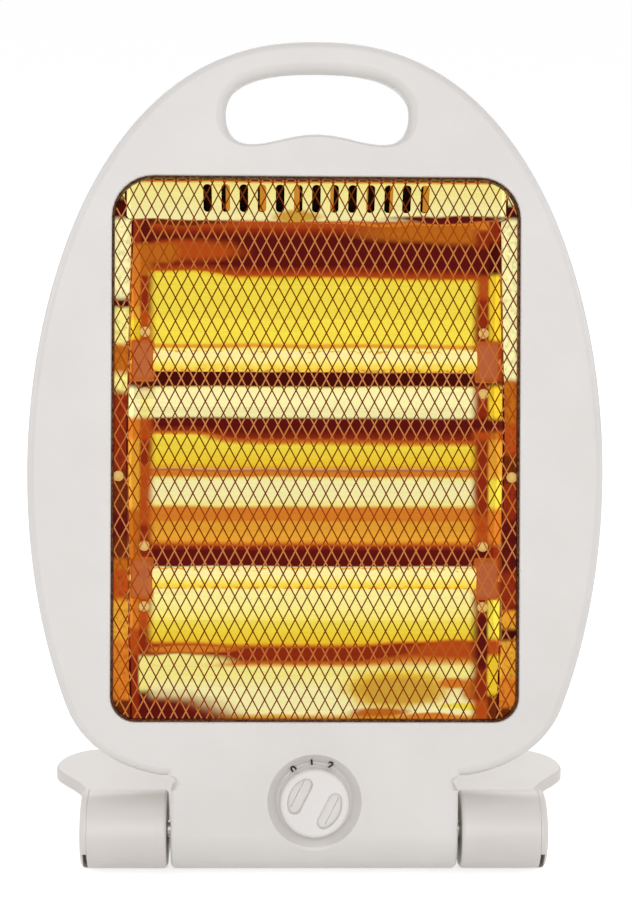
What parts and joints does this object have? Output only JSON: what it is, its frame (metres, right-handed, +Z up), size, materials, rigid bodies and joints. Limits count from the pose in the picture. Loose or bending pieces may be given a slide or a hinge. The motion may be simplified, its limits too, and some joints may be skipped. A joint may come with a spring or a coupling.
{
  "type": "halogen heater",
  "caption": "Free-standing quartz heater: egg-shaped casing with a carrying hole, glowing tubes before a reflector, guard net, rotary switch and a tilting foot.",
  "frame": {"origin": "on the floor, below the middle of the heater's box", "axes": "+Z up, the front faces -Y, +X to the right as the front is looked at"},
  "size_m": [0.264, 0.1506, 0.3735],
  "materials": {
    "casing": "moulded warm off-white ABS, satin",
    "foot": "moulded warm off-white ABS, satin",
    "knob": "moulded off-white ABS, satin",
    "rubber": "moulded black rubber",
    "steel": "zinc-plated steel",
    "guard": "bright nickel-plated woven steel wire",
    "reflector": "bright folded aluminium, lit gold by the tubes",
    "quartz": "frosted fused quartz, glowing",
    "filament": "glowing resistance wire",
    "ceramic": "unglazed steatite, lit orange",
    "bakelite": "black phenolic moulding",
    "lead": "glass-fibre sleeved wire"
  },
  "bodies": {
    "stand": {"foot": "foot", "hub_cap_left": "foot", "hub_cap_right": "foot", "pivot_pin_left": "steel", "pivot_pin_right": "steel", "friction_spring_left": "steel", "friction_spring_right": "steel", "pad_front_left": "rubber", "pad_front_right": "rubber", "pad_rear_left": "rubber", "pad_rear_right": "rubber"},
    "heater_body": {"front_casing": "casing", "rear_cover": "casing", "guard_net": "guard", "reflector": "reflector", "quartz_tube_upper": "quartz", "filament_upper": "filament", "end_cap_upper_left": "ceramic", "tube_bracket_upper_left": "steel", "bracket_screw_upper_left_top": "steel", "bracket_screw_upper_left_bottom": "steel", "lead_upper_left": "lead", "end_cap_upper_right": "ceramic", "tube_bracket_upper_right": "steel", "bracket_screw_upper_right_top": "steel", "bracket_screw_upper_right_bottom": "steel", "lead_upper_right": "lead", "quartz_tube_lower": "quartz", "filament_lower": "filament", "end_cap_lower_left": "ceramic", "tube_bracket_lower_left": "steel", "bracket_screw_lower_left_top": "steel", "bracket_screw_lower_left_bottom": "steel", "lead_lower_left": "lead", "end_cap_lower_right": "ceramic", "tube_bracket_lower_right": "steel", "bracket_screw_lower_right_top": "steel", "bracket_screw_lower_right_bottom": "steel", "lead_lower_right": "lead", "rotary_switch": "bakelite", "tilt_switch": "bakelite", "thermal_cutout": "bakelite", "terminal_block": "ceramic", "cord_gland": "bakelite", "casing_screw_top_left": "steel", "casing_screw_top_right": "steel", "casing_screw_middle_left": "steel", "casing_screw_middle_right": "steel", "casing_screw_bottom_left": "steel", "casing_screw_bottom_right": "steel", "reflector_screw_left": "steel", "reflector_screw_right": "steel"},
    "knob": {"knob": "knob", "switch_shaft": "steel"}
  },
  "joints": [
    {"name": "body_tilt", "type": "hinge", "parent": "stand", "child": "heater_body", "pos_m": [0, -0.05273, 0.0188], "axis": [-1, 0, 0], "range_deg": [-15, 60]},
    {"name": "knob_turn", "type": "hinge", "parent": "heater_body", "child": "knob", "pos_m": [0, -0.04869, 0.03387], "axis": [0, -0.9659, 0.2588], "range_deg": [0, 60]}
  ]
}
